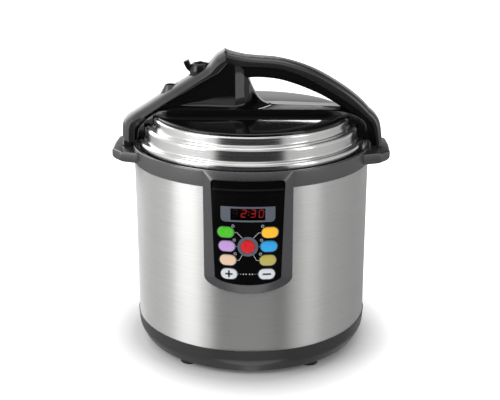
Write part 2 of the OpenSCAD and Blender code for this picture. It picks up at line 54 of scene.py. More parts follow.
def corner_arc(a, b, c, radius, steps=6):
    """Arc that rounds corner b of the path a, b, c."""
    a, b, c = Vector(a), Vector(b), Vector(c)
    u, v = (a - b).normalized(), (c - b).normalized()
    half = math.acos(max(-1.0, min(1.0, u.dot(v)))) / 2
    centre = b + (u + v).normalized() * (radius / math.sin(half))
    reach = radius / math.tan(half)
    start, end = b + u * reach - centre, b + v * reach - centre
    turn = math.pi - 2 * half
    return [centre + (start * math.sin((1 - i / steps) * turn)
                      + end * math.sin(i / steps * turn)) / math.sin(turn) for i in range(steps + 1)]


def rounded(points, steps=6):
    """Closed outline from points that are (x, y) or (x, y, corner radius)."""
    outline = []
    for i, point in enumerate(points):
        before, after = points[i - 1], points[(i + 1) % len(points)]
        if len(point) > 2:
            outline += corner_arc(before[:2], point[:2], after[:2], point[2], steps)
        else:
            outline.append(Vector(point))
    return outline


def smooth_path(points, steps=4):
    """Catmull-Rom curve through the points."""
    pts = [Vector(p) for p in points]
    ends = [2 * pts[0] - pts[1], *pts, 2 * pts[-1] - pts[-2]]
    path = []
    for p0, p1, p2, p3 in zip(ends, ends[1:], ends[2:], ends[3:]):
        for i in range(steps):
            t = i / steps
            path.append(0.5 * (2 * p1 + (p2 - p0) * t + (2 * p0 - 5 * p1 + 4 * p2 - p3) * t * t
                               + (3 * p1 - 3 * p2 + p3 - p0) * t ** 3))
    return path + [pts[-1]]


def between(a, b, t):
    """The value or point at share t of the way from a to b."""
    return a + (b - a) * t


def looked_up(value, table):
    """Linear lookup of value in a table of (place, result) rows."""
    for (x0, y0), (x1, y1) in zip(table, table[1:]):
        if value <= x1:
            return between(y0, y1, max(0.0, (value - x0) / (x1 - x0)))
    return table[-1][1]


def full_turn(segments):
    """Evenly spaced angles round a circle."""
    return [2 * math.pi * i / segments for i in range(segments)]


# ---------- pieces ----------

def make_piece(name, verts, faces, look, body, slot, replaces=(), crease=CREASE):
    """A mesh object from points in millimetres, shaded smooth up to the crease angle, riding on a body."""
    mesh = bpy.data.meshes.new(name)
    mesh.from_pydata([Vector(v) * MM for v in verts], [], faces)
    mesh.validate()
    mesh.update()
    mesh.polygons.foreach_set("use_smooth", [True] * len(mesh.polygons))
    mesh.set_sharp_from_angle(angle=math.radians(crease))
    mesh.materials.append(look)
    piece = bpy.data.objects.new(name, mesh)
    bpy.context.scene.collection.objects.link(piece)
    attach(piece, body)
    if replaces:
        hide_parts(*replaces)
    return piece


def loft(rings, closed=False):
    """Verts and faces of a skin over rings that all have the same number of points.

    Its ends are capped, or, where it is closed, the last ring joins the first.
    """
    size = len(rings[0])
    verts = [p for ring in rings for p in ring]
    faces = []
    pairs = list(zip(range(len(rings)), range(1, len(rings))))
    if closed:
        pairs.append((len(rings) - 1, 0))
    for a, b in pairs:
        for i in range(size):
            j = (i + 1) % size
            faces.append((a * size + i, a * size + j, b * size + j, b * size + i))
    if not closed:
        faces.append(tuple(reversed(range(size))))
        faces.append(tuple(range((len(rings) - 1) * size, len(rings) * size)))
    return verts, faces


def lathe(outline, segments=192):
    """Verts and faces of a closed X-Z outline turned about Z. Points on the axis become a fan."""
    verts, faces, columns = [], [], []
    for x, z in outline:
        if x < 1e-6:
            columns.append([len(verts)] * segments)
            verts.append((0, 0, z))
        else:
            columns.append(list(range(len(verts), len(verts) + segments)))
            verts += [(x * math.cos(a), x * math.sin(a), z) for a in full_turn(segments)]
    for k, low in enumerate(columns):
        high = columns[(k + 1) % len(columns)]
        if low[0] == low[1] and high[0] == high[1]:
            continue
        for i in range(segments):
            j = (i + 1) % segments
            face = []
            for v in (low[i], low[j], high[j], high[i]):
                if v not in face:
                    face.append(v)
            faces.append(tuple(face))
    return verts, faces


def joined(*parts):
    """One verts and faces pair out of several."""
    verts, faces = [], []
    for part_verts, part_faces in parts:
        base = len(verts)
        verts += part_verts
        faces += [tuple(base + i for i in face) for face in part_faces]
    return verts, faces


def shrunk(outline, by):
    """The outline moved inwards by a distance, along each point's normal."""
    area = sum(a[0] * b[1] - b[0] * a[1] for a, b in zip(outline, outline[1:] + outline[:1]))
    side = 1 if area > 0 else -1
    moved = []
    for i, p in enumerate(outline):
        before, after = outline[i - 1], outline[(i + 1) % len(outline)]
        n = Vector((0.0, 0.0))
        for a, b in ((before, p), (p, after)):
            d = Vector(b) - Vector(a)
            if d.length > 1e-9:
                n += Vector((-d.y, d.x)).normalized() * side
        moved.append(Vector(p) + n.normalized() * by)
    return moved


def slab(outline, levels):
    """A plate with rounded edges over an X-Y outline: levels are (height, inset) rows."""
    return loft([[(p[0], p[1], z) for p in shrunk(outline, inset)] for z, inset in levels])


def cut(piece, *cutters):
    """Bores a piece with closed meshes."""
    verts, faces = joined(*cutters)
    mesh = bpy.data.meshes.new("cutter")
    mesh.from_pydata([Vector(v) * MM for v in verts], [], faces)
    cutter = bpy.data.objects.new("cutter", mesh)
    bpy.context.scene.collection.objects.link(cutter)
    bore = piece.modifiers.new("bore", "BOOLEAN")
    bore.operation = "DIFFERENCE"
    bore.solver = "EXACT"
    bore.object = cutter
    bpy.context.view_layer.update()
    result = bpy.data.meshes.new_from_object(piece.evaluated_get(bpy.context.evaluated_depsgraph_get()))
    piece.modifiers.remove(bore)
    piece.data = result
    bpy.data.objects.remove(cutter)
    result.polygons.foreach_set("use_smooth", [True] * len(result.polygons))
    result.set_sharp_from_angle(angle=math.radians(CREASE))


def disc(x, y, radius, low, high, segments=48):
    """A round cutter, dot or pin that stands on the X-Y plane."""
    ring = [(x + radius * math.cos(a), y + radius * math.sin(a)) for a in full_turn(segments)]
    return loft([[(px, py, z) for px, py in ring] for z in (low, high)])


def placed(part, place):
    """The part with every point moved by a function."""
    verts, faces = part
    return [place(Vector(v)) for v in verts], faces


def along_x(x):
    """A function that moves a point along X."""
    return lambda v: v + Vector((x, 0, 0))


# ---------- materials ----------

class Look:
    """A material made of a Principled shader and short procedural chains."""

    def __init__(self, name, color, rough, **sockets):
        self.material = bpy.data.materials.new(name)
        self.material.use_nodes = True
        self.nodes = self.material.node_tree.nodes
        self.links = self.material.node_tree.links
        self.shader = self.nodes["Principled BSDF"]
        self.color = (*color, 1)
        self.shader.inputs["Base Color"].default_value = self.color
        self.shader.inputs["Roughness"].default_value = rough
        for socket, value in sockets.items():
            self.shader.inputs[socket.replace("_", " ")].default_value = value
        self.coords = self.nodes.new("ShaderNodeTexCoord").outputs["Object"]

    def noise(self, scale, detail=3, stretch=(1, 1, 1), source=None):
        """Noise over the object's own coordinates, or over another source, stretched per axis."""
        mapping = self.nodes.new("ShaderNodeMapping")
        mapping.inputs["Scale"].default_value = stretch
        self.links.new(source or self.coords, mapping.inputs["Vector"])
        texture = self.nodes.new("ShaderNodeTexNoise")
        texture.inputs["Scale"].default_value = scale
        texture.inputs["Detail"].default_value = detail
        self.links.new(mapping.outputs["Vector"], texture.inputs["Vector"])
        return texture.outputs["Fac"]

    def spread(self, value, low, high, from_low=0.3, from_high=0.7):
        """Maps the value's working range to low..high."""
        ramp = self.nodes.new("ShaderNodeMapRange")
        ramp.inputs["From Min"].default_value = from_low
        ramp.inputs["From Max"].default_value = from_high
        ramp.inputs["To Min"].default_value = low
        ramp.inputs["To Max"].default_value = high
        self.links.new(value, ramp.inputs["Value"])
        return ramp.outputs["Result"]

    def vary_color(self, value, low, high):
        """Lets the base colour drift between two shares of itself."""
        mix = self.nodes.new("ShaderNodeMix")
        mix.data_type = "RGBA"
        mix.inputs["A"].default_value = [min(1, c * low) for c in self.color[:3]] + [1]
        mix.inputs["B"].default_value = [min(1, c * high) for c in self.color[:3]] + [1]
        self.links.new(self.spread(value, 0, 1), mix.inputs["Factor"])
        self.links.new(mix.outputs["Result"], self.shader.inputs["Base Color"])

    def vary_rough(self, value, low, high):
        self.links.new(self.spread(value, low, high), self.shader.inputs["Roughness"])

    def round_tangent(self):
        """Brush marks run round the Z axis."""
        tangent = self.nodes.new("ShaderNodeTangent")
        tangent.direction_type = "RADIAL"
        tangent.axis = "Z"
        self.links.new(tangent.outputs["Tangent"], self.shader.inputs["Tangent"])

    def bump(self, value, height, strength=1.0):
        """Surface relief: height is in millimetres."""
        node = self.nodes.new("ShaderNodeBump")
        node.inputs["Distance"].default_value = height * MM
        node.inputs["Strength"].default_value = strength
        self.links.new(value, node.inputs["Height"])
        self.links.new(node.outputs["Normal"], self.shader.inputs["Normal"])

    def node_of(self, kind, operation, *inputs):
        """A math or vector math node with its inputs set or linked."""
        return linked_node(self.nodes, self.links, kind, operation, *inputs)

    def axes(self):
        """The object's X, Y and Z coordinates."""
        parts = self.nodes.new("ShaderNodeSeparateXYZ")
        self.links.new(self.coords, parts.inputs["Vector"])
        return parts.outputs

    def vector(self, x, y):
        """A vector out of two values."""
        both = self.nodes.new("ShaderNodeCombineXYZ")
        self.links.new(x, both.inputs["X"])
        self.links.new(y, both.inputs["Y"])
        return both.outputs["Vector"]


def linked_node(nodes, links, kind, operation, *inputs):
    """The Value output of a math or vector math node with its inputs set or linked."""
    node = nodes.new(kind)
    node.operation = operation
    for value, socket in zip(inputs, node.inputs):
        if isinstance(value, (int, float)):
            socket.default_value = value
        else:
            links.new(value, socket)
    return node.outputs["Value"]


def moulded(name, color, rough, grain=1400, height=0.01, **sockets):
    """Moulded plastic or rubber: fine texture, slight cloudiness and uneven gloss."""
    look = Look(name, color, rough, **sockets)
    look.vary_color(look.noise(14), 0.92, 1.08)
    look.vary_rough(look.noise(45, 4), rough * 0.85, min(1, rough * 1.2))
    look.bump(look.noise(grain, 2), height)
    return look.material


def gloss(name, color, rough=0.06, peel=0.004, **sockets):
    """High-gloss plastic with faint orange peel and a few duller patches."""
    look = Look(name, color, rough, **sockets)
    look.vary_color(look.noise(9), 0.9, 1.1)
    look.vary_rough(look.noise(28, 5), rough * 0.6, rough * 1.7)
    look.bump(look.noise(110, 1), peel, 0.5)
    return look.material


def brushed(name, color, rough, along="round", fine=1700, height=0.004, **sockets):
    """Brushed metal: streaks round the Z axis, or along X."""
    look = Look(name, color, rough, Metallic=1.0, **sockets)
    if "Anisotropic" in sockets:
        look.round_tangent()
    stretch = (60, 60, fine) if along == "round" else (60, fine, fine)
    streaks = look.noise(1, 4, stretch)
    broad = look.noise(1, 3, (14, 14, 700) if along == "round" else (14, 700, 700))
    look.vary_color(broad, 0.965, 1.035)
    look.vary_rough(streaks, rough * 0.7, rough * 1.35)
    look.bump(streaks, height)
    return look.material


def spun(name, color, rough, height=0.002, **sockets):
    """Turned or polished metal: very fine rings round the Z axis."""
    look = Look(name, color, rough, Metallic=1.0, **sockets)
    if "Anisotropic" in sockets:
        look.round_tangent()
    axes = look.axes()
    radius = look.node_of("ShaderNodeVectorMath", "LENGTH", look.vector(axes["X"], axes["Y"]))
    rings = look.noise(1, 3, (900, 900, 1), look.vector(radius, axes["Z"]))
    look.vary_color(look.noise(7), 0.97, 1.03)
    look.vary_rough(rings, rough * 0.6, rough * 1.5)
    look.bump(rings, height)
    return look.material


# One look for each material slot of the record, and a lighter one for the top ring.
LOOKS = {
    "foot_rubber": moulded("foot_rubber", (0.02, 0.02, 0.02), 0.75, 700, 0.03),
    "body_plastic": moulded("body_plastic", (0.009, 0.0085, 0.0087), 0.22, 1300, 0.002, IOR=1.85),
    "ring_plastic": moulded("ring_plastic", (0.022, 0.0203, 0.0208), 0.24, 1300, 0.002, IOR=2.1),
    "zinc_sheet": brushed("zinc_sheet", (0.55, 0.56, 0.58), 0.42, "x", 300),
    "screw_steel": spun("screw_steel", (0.7, 0.7, 0.7), 0.25),
    "brushed_shell": brushed("brushed_shell", (0.76, 0.757, 0.75), 0.42, "round", 2600, 0.003,
                             Anisotropic=0.92, Anisotropic_Rotation=0.25),
    "collar_steel": brushed("collar_steel", (0.6, 0.6, 0.61), 0.3),
    "well_steel": brushed("well_steel", (0.55, 0.56, 0.57), 0.4, "round", 500),
    "heater_aluminium": spun("heater_aluminium", (0.72, 0.72, 0.73), 0.35, 0.01),
    "element_steel": moulded("element_steel", (0.12, 0.11, 0.105), 0.6, 600, 0.04, Metallic=0.7),
    "switch_plastic": moulded("switch_plastic", (0.72, 0.62, 0.42), 0.5),
    "ceramic_white": moulded("ceramic_white", (0.82, 0.8, 0.76), 0.6),
    "spring_steel": brushed("spring_steel", (0.45, 0.45, 0.46), 0.3),
    "board_green": gloss("board_green", (0.015, 0.12, 0.045), 0.3),
    "board_parts": moulded("board_parts", (0.06, 0.06, 0.065), 0.45),
    "inlet_plastic": moulded("inlet_plastic", (0.02, 0.02, 0.021), 0.5, 1000, 0.03),
    "pin_brass": brushed("pin_brass", (0.78, 0.6, 0.28), 0.25),
    "bezel_plastic": moulded("bezel_plastic", (0.02, 0.0195, 0.023), 0.25, 1500, 0.002, IOR=2.0),
    "fascia_black": gloss("fascia_black", (0.002, 0.002, 0.0022), 0.12, Specular_IOR_Level=0.25),
    "display_grey": moulded("display_grey", (0.085, 0.1, 0.128), 0.4, 1500, 0.006),
    "display_window": gloss("display_window", (0.6, 0.46, 0.46), 0.002, 0, Transmission_Weight=1.0,
                            IOR=1.03),
    "display_red": gloss("display_red", (0.6, 0.01, 0.02), 0.4),
    "display_black": moulded("display_black", (0.002, 0.002, 0.002), 0.5, Specular_IOR_Level=0.1),
    "indicator_clear": gloss("indicator_clear", (0.06, 0.065, 0.07), 0.25),
    "pot_aluminium": spun("pot_aluminium", (0.3, 0.3, 0.31), 0.38, 0.006),
    "cup_clear": gloss("cup_clear", (0.75, 0.8, 0.83), 0.08, Transmission_Weight=0.85),
    "seal_silicone": moulded("seal_silicone", (0.72, 0.71, 0.67), 0.45, 500, 0.01,
                             Subsurface_Weight=0.2),
    "lid_steel": spun("lid_steel", (0.84, 0.835, 0.83), 0.19, 0.0004,
                      Anisotropic=0.5, Anisotropic_Rotation=0.25),
    "cover_black": gloss("cover_black", (0.004, 0.004, 0.0045), 0.03),
    "handle_black": gloss("handle_black", (0.0045, 0.0045, 0.005), 0.045),
    "handle_grey": moulded("handle_grey", (0.016, 0.016, 0.0165), 0.22, 1500, 0.0015, IOR=1.8),
    "rack_steel": spun("rack_steel", (0.68, 0.68, 0.69), 0.22),
    "float_silicone": moulded("float_silicone", (0.6, 0.12, 0.07), 0.45, 500, 0.01),
    "valve_black": moulded("valve_black", (0.006, 0.006, 0.0065), 0.16, 1200, 0.004),
    "key_green": gloss("key_green", (0.055, 0.46, 0.006), 0.28),
    "key_violet": gloss("key_violet", (0.46, 0.27, 0.58), 0.28),
    "key_peach": gloss("key_peach", (0.68, 0.47, 0.32), 0.28),
    "key_yellow": gloss("key_yellow", (0.88, 0.45, 0.006), 0.28),
    "key_blue": gloss("key_blue", (0.003, 0.31, 0.68), 0.28),
    "key_olive": gloss("key_olive", (0.42, 0.35, 0.07), 0.28),
    "key_white": gloss("key_white", (0.58, 0.6, 0.63), 0.28),
    "key_red": gloss("key_red", (0.55, 0.0005, 0.006), 0.28),
}
glow = bpy.data.materials["display_red"].node_tree.nodes["Principled BSDF"]
glow.inputs["Emission Color"].default_value = (1.0, 0.015, 0.03, 1)
glow.inputs["Emission Strength"].default_value = 3.0
mark_black = moulded("mark_black", (0.01, 0.01, 0.012), 0.5)
mark_grey = moulded("mark_grey", (0.42, 0.43, 0.46), 0.5)

for part in frame["record"]["subparts"]:
    node = NODES[part["node"]]
    node.data.materials.clear()
    node.data.materials.append(LOOKS[part["material_slot"]])


# ---------- lid handle ----------

SLOPE_HALF_WIDTH = 24.0
ARCH_HALF_WIDTH = 17.0
CORE_HALF_WIDTH = 14.6
LEG_LOW = 251.2
CROWN_RISE = 10.4
THINNEST_WALL = 1.6
VALVE_X, FLOAT_X = -62.0, -99.0
CROWN_STEPS = 28


def cowl_profile(half_width, thickness):
    """Crowned cross-section: one long arc over two upright edges that end in a thin lip."""
    wall = max(THINNEST_WALL, thickness - CROWN_RISE)
    rise = thickness - wall
    radius = (half_width ** 2 + rise ** 2) / (2 * rise)
    sweep = math.asin(half_width / radius)
    arc = [(radius * math.sin(a), thickness - radius * (1 - math.cos(a)))
           for a in (between(-sweep, sweep, i / CROWN_STEPS) for i in range(CROWN_STEPS + 1))]
    lip = [(half_width, 1.3), (half_width + 0.7, 0.8), (half_width + 0.7, 0.0)]
    return [(-y, t) for y, t in reversed(lip)] + arc + lip


def grip_profile(half_width, thickness):
    """Flat-sided cross-section with well-rounded upper edges."""
    edge = min(7.5, thickness * 0.72)
    return rounded([(-half_width, 0.0), (-half_width, thickness - 0.8, edge), (0.0, thickness),
                    (half_width, thickness - 0.8, edge), (half_width, 0.0)], 8)


def band(outer, inner, widths, profile):
    """Loft of the top shell along two X-Z paths of matching points, with half widths looked up by place."""
    rings = []
    for top, low in zip(smooth_path(outer), smooth_path(inner)):
        thickness = (top - low).length
        direction = (top - low) / thickness
        rings.append([(low.x + direction.x * t, y, low.y + direction.y * t)
                      for y, t in profile(looked_up(top.x, widths), thickness)])
    return loft(rings)


# The top shell in X-Z: from the left foot up the slope to the crest, over the arch, and down the right leg.
slope_outer = [
    (-160, 256.2), (-160.1, 262), (-159.8, 270), (-158.9, 276.6), (-156.6, 282.0), (-152, 286.8),
    (-144, 292), (-133.7, 298.6), (-105.4, 317), (-77.1, 335.2), (-58, 347.4), (-51.4, 352.2),
    (-47.2, 357.4), (-42.8, 361.6), (-37, 365.4), (-32, 368.6)
]
slope_inner = [
    (-142.4, 256.2), (-142.2, 262), (-141.8, 268), (-141.3, 273), (-139.8, 277.4), (-136.8, 281),
    (-133.4, 284.2), (-128.2, 288.2), (-102, 305.6), (-71.6, 323.6), (-52, 335), (-45.6, 338.4),
    (-39.4, 341.6), (-35.6, 345.4), (-31.4, 349.8), (-28, 353.6)
]
arch_outer = [
    (-32, 367.2), (-27, 365.2), (-18, 362.9), (-6, 360.6), (11, 359.2), (33, 357.2), (55, 352),
    (77, 344), (98, 333), (120, 318.8), (136, 305.8), (146, 295.2)
]
arch_inner = [
    (-28.6, 354.6), (-25, 352), (-17, 350.2), (-5, 349.2), (11, 348.8), (32, 347.2), (52, 342),
    (72, 333.2), (91, 322.6), (112, 309.6), (128.5, 298.4), (138, 290.2)
]
leg_outer = [
    (146.3, 294.8), (151.8, 290), (156.4, 284), (158.9, 277.4), (160.4, 268), (161.3, 260),
    (161.9, LEG_LOW)
]
leg_inner = [
    (138.3, 289.9), (143, 285.4), (147.4, 280.6), (150.2, 275), (152.2, 267), (153.4, 260),
    (154.2, LEG_LOW)
]
slope_width = [(-160, SLOPE_HALF_WIDTH - 1.5), (-150, SLOPE_HALF_WIDTH), (-42, SLOPE_HALF_WIDTH),
               (-31, SLOPE_HALF_WIDTH - 1)]
arch_width = [(-33, 19), (-27, 18.6), (-18, 17.6), (-6, ARCH_HALF_WIDTH), (200, ARCH_HALF_WIDTH)]
slope = make_piece("handle_top_slope", *band(slope_outer, slope_inner, slope_width, cowl_profile),
                   LOOKS["handle_grey"], "lid", "handle_grey", ["handle_top"])

# The short foot under the slope, rounded towards the outside.
foot_plan = [(0, 19), (-9.2, 19), (-12.3, 12), (-13, 0), (-12.3, -12), (-9.2, -19), (0, -19)]
foot_rings = [[(x + out, y, z) for out, y in foot_plan] for x, z in ((-147.2, LEG_LOW), (-147.1, 256.6))]
make_piece("handle_top_foot", *loft(foot_rings), LOOKS["handle_grey"], "lid", "handle_grey")
make_piece("handle_top_arch", *band(arch_outer, arch_inner, arch_width, grip_profile),
           LOOKS["handle_grey"], "lid", "handle_grey")
make_piece("handle_top_leg", *band(leg_outer, leg_inner, arch_width, grip_profile),
           LOOKS["handle_grey"], "lid", "handle_grey")


def core_ring(top, low, half_width):
    """Cross-section of the gloss-black underside of the grip, with a rounded lower edge."""
    depth = (top - low).length
    direction = (low - top) / depth
    edge = min(5.5, depth * 0.55)
    profile = rounded([(-half_width, 0.0), (half_width, 0.0), (half_width, depth, edge),
                       (-half_width, depth, edge)])
    return [(top.x + direction.x * t, y, top.y + direction.y * t) for y, t in profile]


# The gloss-black underside of the grip in X-Z: the line under the top shell, and its lower line.
core_top = [
    (-26, 351), (-17, 350.8), (-5, 350.2), (11, 349.8), (32, 348.2), (52, 343), (72, 334.2),
    (92, 323.4), (112, 310.6), (129, 299.4), (139, 290.7), (147.6, 281.8), (151, 275.4), (153, 267),
    (154.2, 260), (155, LEG_LOW + 0.3)
]
core_low = [
    (-22, 336), (-13, 334.4), (-2, 334.6), (11, 335), (32, 333), (52, 327.6), (70, 320.8), (87, 313),
    (104, 303), (119, 293), (130, 285.6), (137.5, 279), (142, 272.4), (144.6, 265), (146.6, 259.4),
    (148.2, LEG_LOW + 0.3)
]
core_rings = [core_ring(top, low, CORE_HALF_WIDTH)
              for top, low in zip(smooth_path(core_top), smooth_path(core_low))]
make_piece("handle_grip_underside", *loft(core_rings), LOOKS["handle_black"], "lid", "handle_black",
           ["handle_grip_core"])

# The base along X: place, half width, height of its edge, half width and top of the web on it.
base_profile = [
    (-147, 19, 258.6, 19, 259.4), (-143.2, 19.5, 262.6, 19.5, 264.6), (-141.4, 20, 270, 20, 275),
    (-137.6, 20.4, 275, 20.4, 279.4), (-133, 20.8, 280.6, 20.8, 283.8), (-127.5, 22, 287, 22, 287.9),
    (-121.6, 23.4, 290.8, 21.8, 291.6), (-118, 24.6, 293.2, 21.8, 293.9), (-112, 26.6, 296.2, 21.8, 297.6),
    (-100, 29.4, 298, 21.8, 304.9), (-85, 32.2, 299.2, 21.8, 314.2), (-65, 35, 300.2, 21.8, 326.5),
    (-45, 36.8, 300.8, 21.8, 338.9), (-37, 37.3, 301, 21.8, 346), (-29, 37.7, 301.2, 21.8, 352.2),
    (-19.4, 38, 301.3, 21.4, 351.4), (-18.2, 38, 301.3, 20.7, 351), (-13, 38.1, 301.3, 17.6, 349.8),
    (-8.2, 38.2, 301.3, 14.8, 344), (-7, 38.2, 301.3, 13.8, 341.4), (-4, 38.2, 301.3, 10.6, 336),
    (-1, 38.2, 301.3, 8.6, 328.6), (1, 38.2, 301.3, 8, 324.1), (3, 38.2, 301.3, 7.6, 320),
    (5.4, 38.1, 301.3, 7.4, 315.8), (8, 38.1, 301.3, 7.2, 312), (11, 38, 301.3, 7.1, 309),
    (14, 38, 301.2, 7, 306.6), (17.4, 37.9, 301.2, 7, 304.8), (21, 37.8, 301.2, 7, 303.5),
    (25, 37.6, 301.1, 7, 302.7), (30, 37.4, 301.1, 7, 302.1), (37, 37, 301, 7, 301.7),
    (45, 36.4, 300.8, 7, 301.4), (65, 34, 300.2, 7, 300.8), (85, 30.6, 299.4, 7, 299.9),
    (100, 27, 298.2, 7, 298.7), (112, 23, 296.2, 7.4, 297.4), (121, 20, 293.6, 9, 294.6),
    (130, 17.6, 289.6, 10, 290.4), (137, 16.4, 285, 11, 285.6), (141, 16, 280.6, 11.4, 281.2),
    (144.4, 15.8, 273, 12, 273.6), (146.6, 15.6, 264, 12, 264.6), (148.8, 15.4, 259, 12, 259.6)
]
# Underside of the base over the lid's steps: up to this distance from the axis, this height.
base_steps = [(118.4, 290.6), (121.4, 289.4), (132, 278.8), (139, 262.8), (146, 258.6), (160, 257.2)]
STEP_GAP = 0.05
# How far the cove climbs up the web, by place.
cove_rises = [(-100, 2), (-80, 4), (-57, 9), (-39, 16), (-18, 20), (20, 20)]
COVE_STEPS = 8
# How much lower the rear edge of the plate under the grip lies, by place.
rear_fall = [(-8, 0), (14, 6), (80, 4.6), (100, 2.4), (112, 0)]
# Cross-sections further out than this curve with the lid's round steps.
FLAT_REACH = 115
BASE_CREASE = 38


def base_ring(place, bottom):
    """Cross-section of the base: a low wall, a rounded edge and a cove up to the web."""
    half_width, edge_z, web, top = (
        looked_up(place, [(row[0], row[column]) for row in base_profile]) for column in range(1, 5)
    )
    edge = min(1.6, (edge_z - bottom) * 0.3)
    half = [Vector((half_width, bottom)), Vector((half_width, edge_z - edge))]
    half.append(Vector((half_width - edge * 0.3, edge_z - edge * 0.3)))
    start = Vector((half_width - edge, edge_z))
    cove = min(looked_up(place, cove_rises), max(0.0, top - edge_z) * 0.85)
    bend, end = Vector((between(web, half_width, 0.3), edge_z + 0.3)), Vector((web, edge_z + cove))
    for i in range(COVE_STEPS + 1):
        t = i / COVE_STEPS
        half.append(start * (1 - t) ** 2 + bend * 2 * t * (1 - t) + end * t * t)
    half.append(Vector((web - 0.4, top)))
    fall = looked_up(place, rear_fall)

    def lowered(y, z):
        """Lets all but the underside fall towards the rear, more steeply as it goes."""
        rearward = (y + half_width) / (2 * half_width)
        return (y, z - fall * between(rearward, rearward ** 2, 0.55)) if z > bottom else (y, z)

    outline = [lowered(-y, z) for y, z in reversed(half)] + [lowered(y, z) for y, z in half]
    if abs(place) < FLAT_REACH:
        return [(place, y, z) for y, z in outline]
    sign = 1 if place > 0 else -1
    return [(sign * math.sqrt(place * place - y * y), y, z) for y, z in outline]


base_places = [(row[0], next(z for reach, z in base_steps if abs(row[0]) < reach)) for row in base_profile]
for (reach, z), (_, next_z) in zip(base_steps, base_steps[1:]):
    base_places += [(-reach, next_z), (-reach + STEP_GAP, z), (reach - STEP_GAP, z), (reach, next_z)]
base = make_piece("handle_base_shell", *loft([base_ring(*row) for row in sorted(base_places)]),
                  LOOKS["handle_black"], "lid", "handle_black", ["handle_base"], BASE_CREASE)

# Wells for the valve and the float, through the cowl and into the housing below it.
VALVE_WELL_RADIUS, FLOAT_WELL_RADIUS = 14.2, 9.6
valve_well = disc(VALVE_X, 0, VALVE_WELL_RADIUS, 324, 380)
float_well = disc(FLOAT_X, 0, FLOAT_WELL_RADIUS, 303, 340)
cut(slope, valve_well, float_well)
cut(base, valve_well, float_well)


# ---------- valve and float ----------

KNOB_Z = 334.0
knob_outline = rounded([
    (0, KNOB_Z), (12.8, KNOB_Z, 0.8), (13.4, KNOB_Z + 8, 2.5), (10.8, KNOB_Z + 16.2, 4), (0, KNOB_Z + 18.8)
])
knob = make_piece("valve_knob_head", *placed(lathe(knob_outline, 96), along_x(VALVE_X)),
                  LOOKS["valve_black"], "valve", "handle_black", ["valve_knob"])

# One flat facet on the knob's front left, and six vent holes in its top.
FACET_CENTRE = Vector((VALVE_X, 0, 342))
FACET_DEPTHS = (10.9, 20)
HOLE_CIRCLE, HOLE_RADIUS = 7.4, 1.7
facet_out = Vector((-0.46, -0.81, 0.35)).normalized()
facet_side = facet_out.cross(Vector((0, 0, 1))).normalized()
facet_up = facet_side.cross(facet_out)
facet = placed(loft([[(x, y, z) for x, y in ((-14, -14), (14, -14), (14, 14), (-14, 14))]
                     for z in FACET_DEPTHS]),
               lambda v: FACET_CENTRE + facet_side * v.x + facet_up * v.y + facet_out * v.z)
cut(knob, facet, *(disc(VALVE_X + HOLE_CIRCLE * math.cos(a), HOLE_CIRCLE * math.sin(a), HOLE_RADIUS,
                        KNOB_Z + 11, KNOB_Z + 22, 20)
                   for a in (math.radians(30 + 60 * i) for i in range(6))))

# The lever: a flat bar that curls up and out from the knob, drawn from the knob's axis.
lever_path = smooth_path([(-7, 341.8), (-11.4, 343.4), (-14.2, 346.2), (-15.9, 349.6), (-17.4, 353.2)], 3)
lever_rings = []
for i, point in enumerate(lever_path):
    t = i / (len(lever_path) - 1)
    ahead = lever_path[min(i + 1, len(lever_path) - 1)] - lever_path[max(i - 1, 0)]
    normal = Vector((-ahead.y, ahead.x)).normalized()
    half_width, half_depth = between(5.6, 5.2, t), between(3.1, 3.4, t)
    profile = rounded([(-half_width, -half_depth, 1), (half_width, -half_depth, 1),
                       (half_width, half_depth, 1), (-half_width, half_depth, 1)], 3)
    lever_rings.append([(VALVE_X + point.x + normal.x * d, y, point.y + normal.y * d) for y, d in profile])
make_piece("valve_knob_lever", *loft(lever_rings), LOOKS["valve_black"], "valve", "handle_black")

guard_outline = rounded([(5.2, 303), (9.3, 303), (9.3, 307), (14.4, 308.8, 0.6), (14.4, 310.6, 0.8),
                         (6.8, 323.8, 0.8), (5.2, 324.2, 0.4)], 4)
make_piece("float_guard_cone", *placed(lathe(guard_outline, 64), along_x(FLOAT_X)),
           LOOKS["handle_grey"], "lid", "handle_grey", ["float_guard"])


# ---------- lid cover ----------

COVER_RADIUS = 118.0
COVER_LOW, COVER_EDGE, COVER_SHOULDER = 287.2, 290.2, 291.4
COVER_DOME = 3.6
cover_outline = [(0, COVER_LOW), (COVER_RADIUS, COVER_LOW), (COVER_RADIUS, COVER_EDGE)]
cover_outline += [(COVER_RADIUS - 1.2 * (1 - math.cos(a)), COVER_EDGE + 1.0 * math.sin(a))
                  for a in (0.4, 0.8, 1.2)]
cover_outline += [(r, COVER_SHOULDER + COVER_DOME * (1 - (r / COVER_RADIUS) ** 2))
                  for r in (116.4, 112, 105, 95, 80, 60, 40, 20, 0)]
make_piece("lid_cover_dome", *lathe(cover_outline), LOOKS["cover_black"], "lid", "cover_black", ["lid_cover"])


# ---------- top ring with its side handles ----------

